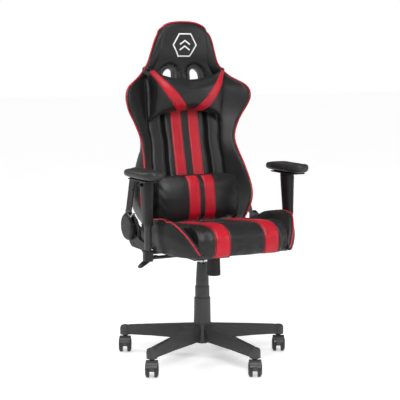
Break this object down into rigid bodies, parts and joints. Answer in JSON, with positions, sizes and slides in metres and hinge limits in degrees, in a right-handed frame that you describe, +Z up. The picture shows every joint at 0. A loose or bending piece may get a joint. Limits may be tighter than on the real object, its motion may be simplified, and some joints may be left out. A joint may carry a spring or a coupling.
{
  "type": "gaming chair",
  "caption": "Swivel chair with a tall winged backrest, height-adjusting armrests, a tilting seat on a gas lift and a five-star base on casters.",
  "frame": {"origin": "middle of the chair's footprint, on the floor", "axes": "+Z up, the sitter faces -Y, the sitter's left is +X"},
  "size_m": [0.689, 0.6685, 1.2846],
  "materials": {
    "nylon": "moulded, satin",
    "wheel": "moulded, slightly glossy",
    "cover_plastic": "moulded, fine grain",
    "black_plastic": "moulded, satin",
    "black_steel": "black powder coat",
    "bright_steel": "ground",
    "leather_black": "fine-grained artificial leather",
    "leather_red": "fine-grained artificial leather",
    "emblem_white": "embroidered thread",
    "soft_pad": "soft moulded foam skin",
    "elastic": "woven elastic",
    "plywood": "unfinished plywood"
  },
  "bodies": {
    "base": {"star_base": "nylon", "gas_outer_tube": "black_steel", "cover_lower": "cover_plastic"},
    "spindle": {"piston_rod": "bright_steel", "thrust_bearing": "bright_steel", "column_clip": "bright_steel"},
    "cover_slide": {"cover_middle": "cover_plastic"},
    "lift": {"gas_cylinder": "bright_steel", "cover_upper": "cover_plastic", "mechanism_housing": "black_steel", "tilt_pin": "bright_steel"},
    "tension_knob": {"tension_knob": "black_plastic"},
    "lever_bush": {"lever_bush": "black_steel"},
    "lift_lever": {"lift_lever": "black_steel", "lever_handle": "black_plastic"},
    "seat": {"mechanism_plate": "black_steel", "seat_board": "plywood", "seat_cushion": "leather_black", "seat_bolster_left": "leather_black", "seat_bolster_right": "leather_black", "arm_bracket_left": "black_steel", "arm_bracket_right": "black_steel", "arm_collar_left": "black_plastic", "arm_collar_right": "black_plastic", "recliner_plate_left": "black_steel", "recliner_plate_right": "black_steel", "recliner_cover_left": "black_plastic", "recliner_cover_right": "black_plastic"},
    "back": {"back_arm_left": "black_steel", "back_arm_right": "black_steel", "backrest": "leather_black", "neck_bezel_left": "black_plastic", "neck_bezel_right": "black_plastic", "neck_pillow": "leather_black", "neck_strap": "elastic", "lumbar_cushion": "leather_black"},
    "recline_lever": {"recline_lever": "black_plastic"},
    "caster_1": {"caster_1_hood": "nylon"},
    "caster_1_wheel_a": {"caster_1_wheel_a": "wheel"},
    "caster_1_wheel_b": {"caster_1_wheel_b": "wheel"},
    "caster_2": {"caster_2_hood": "nylon"},
    "caster_2_wheel_a": {"caster_2_wheel_a": "wheel"},
    "caster_2_wheel_b": {"caster_2_wheel_b": "wheel"},
    "caster_3": {"caster_3_hood": "nylon"},
    "caster_3_wheel_a": {"caster_3_wheel_a": "wheel"},
    "caster_3_wheel_b": {"caster_3_wheel_b": "wheel"},
    "caster_4": {"caster_4_hood": "nylon"},
    "caster_4_wheel_a": {"caster_4_wheel_a": "wheel"},
    "caster_4_wheel_b": {"caster_4_wheel_b": "wheel"},
    "caster_5": {"caster_5_hood": "nylon"},
    "caster_5_wheel_a": {"caster_5_wheel_a": "wheel"},
    "caster_5_wheel_b": {"caster_5_wheel_b": "wheel"},
    "arm_left": {"arm_sleeve_left": "black_plastic", "arm_pad_left": "soft_pad"},
    "arm_left_tab": {"arm_tab_left": "black_plastic"},
    "arm_right": {"arm_sleeve_right": "black_plastic", "arm_pad_right": "soft_pad"},
    "arm_right_tab": {"arm_tab_right": "black_plastic"}
  },
  "joints": [
    {"name": "caster_1_swivel", "type": "hinge", "parent": "base", "child": "caster_1", "pos_m": [0.14189, 0.31149, 0.08], "axis": [0, 0, 1], "continuous": true},
    {"name": "caster_1_roll_a", "type": "hinge", "parent": "caster_1", "child": "caster_1_wheel_a", "pos_m": [0.13543, 0.29907, 0.02974], "axis": [0.887, -0.4617, 0], "continuous": true},
    {"name": "caster_1_roll_b", "type": "hinge", "parent": "caster_1", "child": "caster_1_wheel_b", "pos_m": [0.13543, 0.29907, 0.02974], "axis": [0.887, -0.4617, 0], "continuous": true},
    {"name": "caster_2_swivel", "type": "hinge", "parent": "base", "child": "caster_2", "pos_m": [-0.22681, 0.24979, 0.08], "axis": [0, 0, 1], "continuous": true},
    {"name": "caster_2_roll_a", "type": "hinge", "parent": "caster_2", "child": "caster_2_wheel_a", "pos_m": [-0.23328, 0.23737, 0.02974], "axis": [0.887, -0.4617, 0], "continuous": true},
    {"name": "caster_2_roll_b", "type": "hinge", "parent": "caster_2", "child": "caster_2_wheel_b", "pos_m": [-0.23328, 0.23737, 0.02974], "axis": [0.887, -0.4617, 0], "continuous": true},
    {"name": "caster_3_swivel", "type": "hinge", "parent": "base", "child": "caster_3", "pos_m": [-0.28207, -0.11994, 0.08], "axis": [0, 0, 1], "continuous": true},
    {"name": "caster_3_roll_a", "type": "hinge", "parent": "caster_3", "child": "caster_3_wheel_a", "pos_m": [-0.28853, -0.13235, 0.02974], "axis": [0.887, -0.4617, 0], "continuous": true},
    {"name": "caster_3_roll_b", "type": "hinge", "parent": "caster_3", "child": "caster_3_wheel_b", "pos_m": [-0.28853, -0.13235, 0.02974], "axis": [0.887, -0.4617, 0], "continuous": true},
    {"name": "caster_4_swivel", "type": "hinge", "parent": "base", "child": "caster_4", "pos_m": [0.05249, -0.28674, 0.08], "axis": [0, 0, 1], "continuous": true},
    {"name": "caster_4_roll_a", "type": "hinge", "parent": "caster_4", "child": "caster_4_wheel_a", "pos_m": [0.04602, -0.29916, 0.02974], "axis": [0.887, -0.4617, 0], "continuous": true},
    {"name": "caster_4_roll_b", "type": "hinge", "parent": "caster_4", "child": "caster_4_wheel_b", "pos_m": [0.04602, -0.29916, 0.02974], "axis": [0.887, -0.4617, 0], "continuous": true},
    {"name": "caster_5_swivel", "type": "hinge", "parent": "base", "child": "caster_5", "pos_m": [0.31451, -0.0201, 0.08], "axis": [0, 0, 1], "continuous": true},
    {"name": "caster_5_roll_a", "type": "hinge", "parent": "caster_5", "child": "caster_5_wheel_a", "pos_m": [0.30804, -0.03252, 0.02974], "axis": [0.887, -0.4617, 0], "continuous": true},
    {"name": "caster_5_roll_b", "type": "hinge", "parent": "caster_5", "child": "caster_5_wheel_b", "pos_m": [0.30804, -0.03252, 0.02974], "axis": [0.887, -0.4617, 0], "continuous": true},
    {"name": "chair_swivel", "type": "hinge", "parent": "base", "child": "spindle", "pos_m": [0, 0.0269, 0.1], "axis": [0, 0, 1], "continuous": true},
    {"name": "gas_lift", "type": "slide", "parent": "spindle", "child": "lift", "axis": [0, 0, 1], "range_m": [-0.1, 0], "stiffness_N_per_m": 300, "springref_m": 1.2},
    {"name": "cover_slide", "type": "slide", "parent": "spindle", "child": "cover_slide", "axis": [0, 0, 1], "range_m": [-0.04, 0]},
    {"name": "tension_turn", "type": "hinge", "parent": "lift", "child": "tension_knob", "pos_m": [0, -0.0651, 0.36], "axis": [0, 0, 1], "continuous": true},
    {"name": "tilt_lock_pull", "type": "slide", "parent": "lift", "child": "lever_bush", "axis": [-1, 0, 0], "range_m": [0, 0.012]},
    {"name": "lift_lever_raise", "type": "hinge", "parent": "lever_bush", "child": "lift_lever", "pos_m": [-0.0585, 0.0269, 0.409], "axis": [0, 1, 0], "range_deg": [0, 5], "stiffness_Nm_per_rad": 3, "springref_deg": -17.19},
    {"name": "seat_tilt", "type": "hinge", "parent": "lift", "child": "seat", "pos_m": [0, -0.0181, 0.415], "axis": [-1, 0, 0], "range_deg": [0, 15], "stiffness_Nm_per_rad": 140, "springref_deg": -20.05},
    {"name": "backrest_recline", "type": "hinge", "parent": "seat", "child": "back", "pos_m": [0, 0.1019, 0.522], "axis": [-1, 0, 0], "range_deg": [0, 45]},
    {"name": "recline_lever_pull", "type": "hinge", "parent": "seat", "child": "recline_lever", "pos_m": [-0.279, 0.1019, 0.522], "axis": [-1, 0, 0], "range_deg": [0, 15], "stiffness_Nm_per_rad": 2, "springref_deg": -17.19},
    {"name": "arm_left_height", "type": "slide", "parent": "seat", "child": "arm_left", "axis": [0, 0, 1], "range_m": [-0.075, 0]},
    {"name": "arm_left_tab_lift", "type": "slide", "parent": "arm_left", "child": "arm_left_tab", "axis": [0, 0, 1], "range_m": [0, 0.004], "stiffness_N_per_m": 300, "springref_m": -0.01},
    {"name": "arm_right_height", "type": "slide", "parent": "seat", "child": "arm_right", "axis": [0, 0, 1], "range_m": [-0.075, 0]},
    {"name": "arm_right_tab_lift", "type": "slide", "parent": "arm_right", "child": "arm_right_tab", "axis": [0, 0, 1], "range_m": [0, 0.004], "stiffness_N_per_m": 300, "springref_m": -0.01}
  ],
  "couplings": [
    {"joint": "cover_slide", "follows": "gas_lift", "ratio": 0.4}
  ]
}
